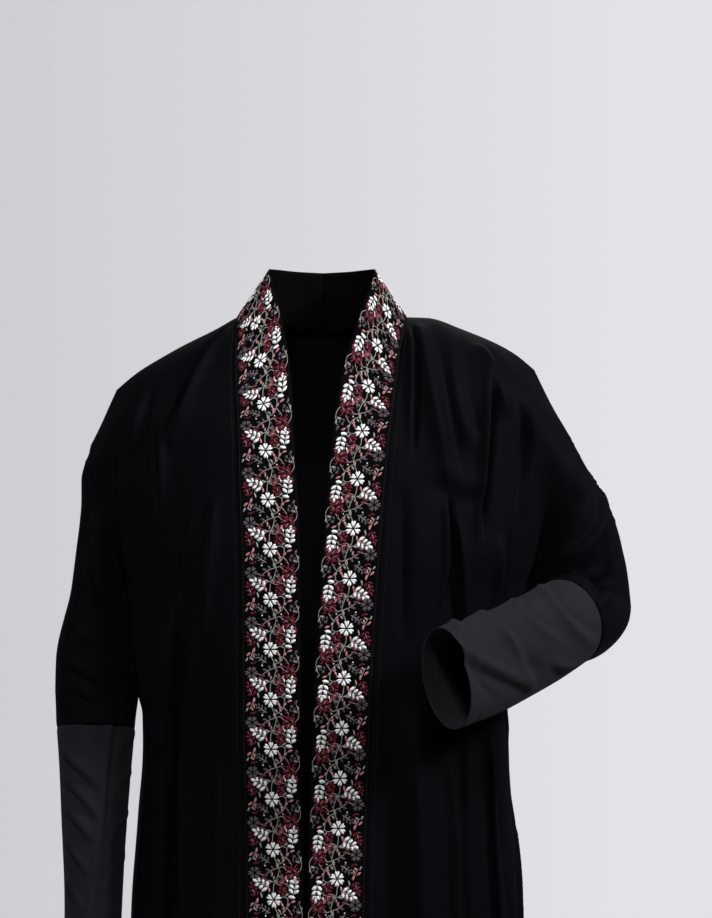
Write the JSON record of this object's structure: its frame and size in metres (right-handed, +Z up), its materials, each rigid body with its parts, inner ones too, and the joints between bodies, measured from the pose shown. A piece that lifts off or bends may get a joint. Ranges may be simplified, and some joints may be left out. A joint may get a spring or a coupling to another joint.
{
  "type": "open-front abaya cloak",
  "caption": "Full-length open-front cloak with batwing sleeves, fitted lower sleeves and a floral border along both front edges and round the neck, in its worn form.",
  "frame": {"origin": "midway between the two high shoulder points, where the wearer's shoulders carry the cloak", "axes": "+Z up along the cloak, the wearer faces -Y, and the wearer's left hand is at +X"},
  "size_m": [0.5742, 0.4263, 1.4713],
  "materials": {
    "black_crepe": "soft matt crepe",
    "embroidered_ribbon": "satin-stitched flowers on a black ground",
    "charcoal_jersey": "matt brushed jersey"
  },
  "bodies": {
    "root": {"back_panel": "black_crepe", "front_panel_right": "black_crepe", "front_panel_left": "black_crepe", "front_border_right": "embroidered_ribbon", "front_border_left": "embroidered_ribbon", "lower_sleeve_right": "charcoal_jersey", "lower_sleeve_left": "charcoal_jersey"}
  },
  "joints": []
}
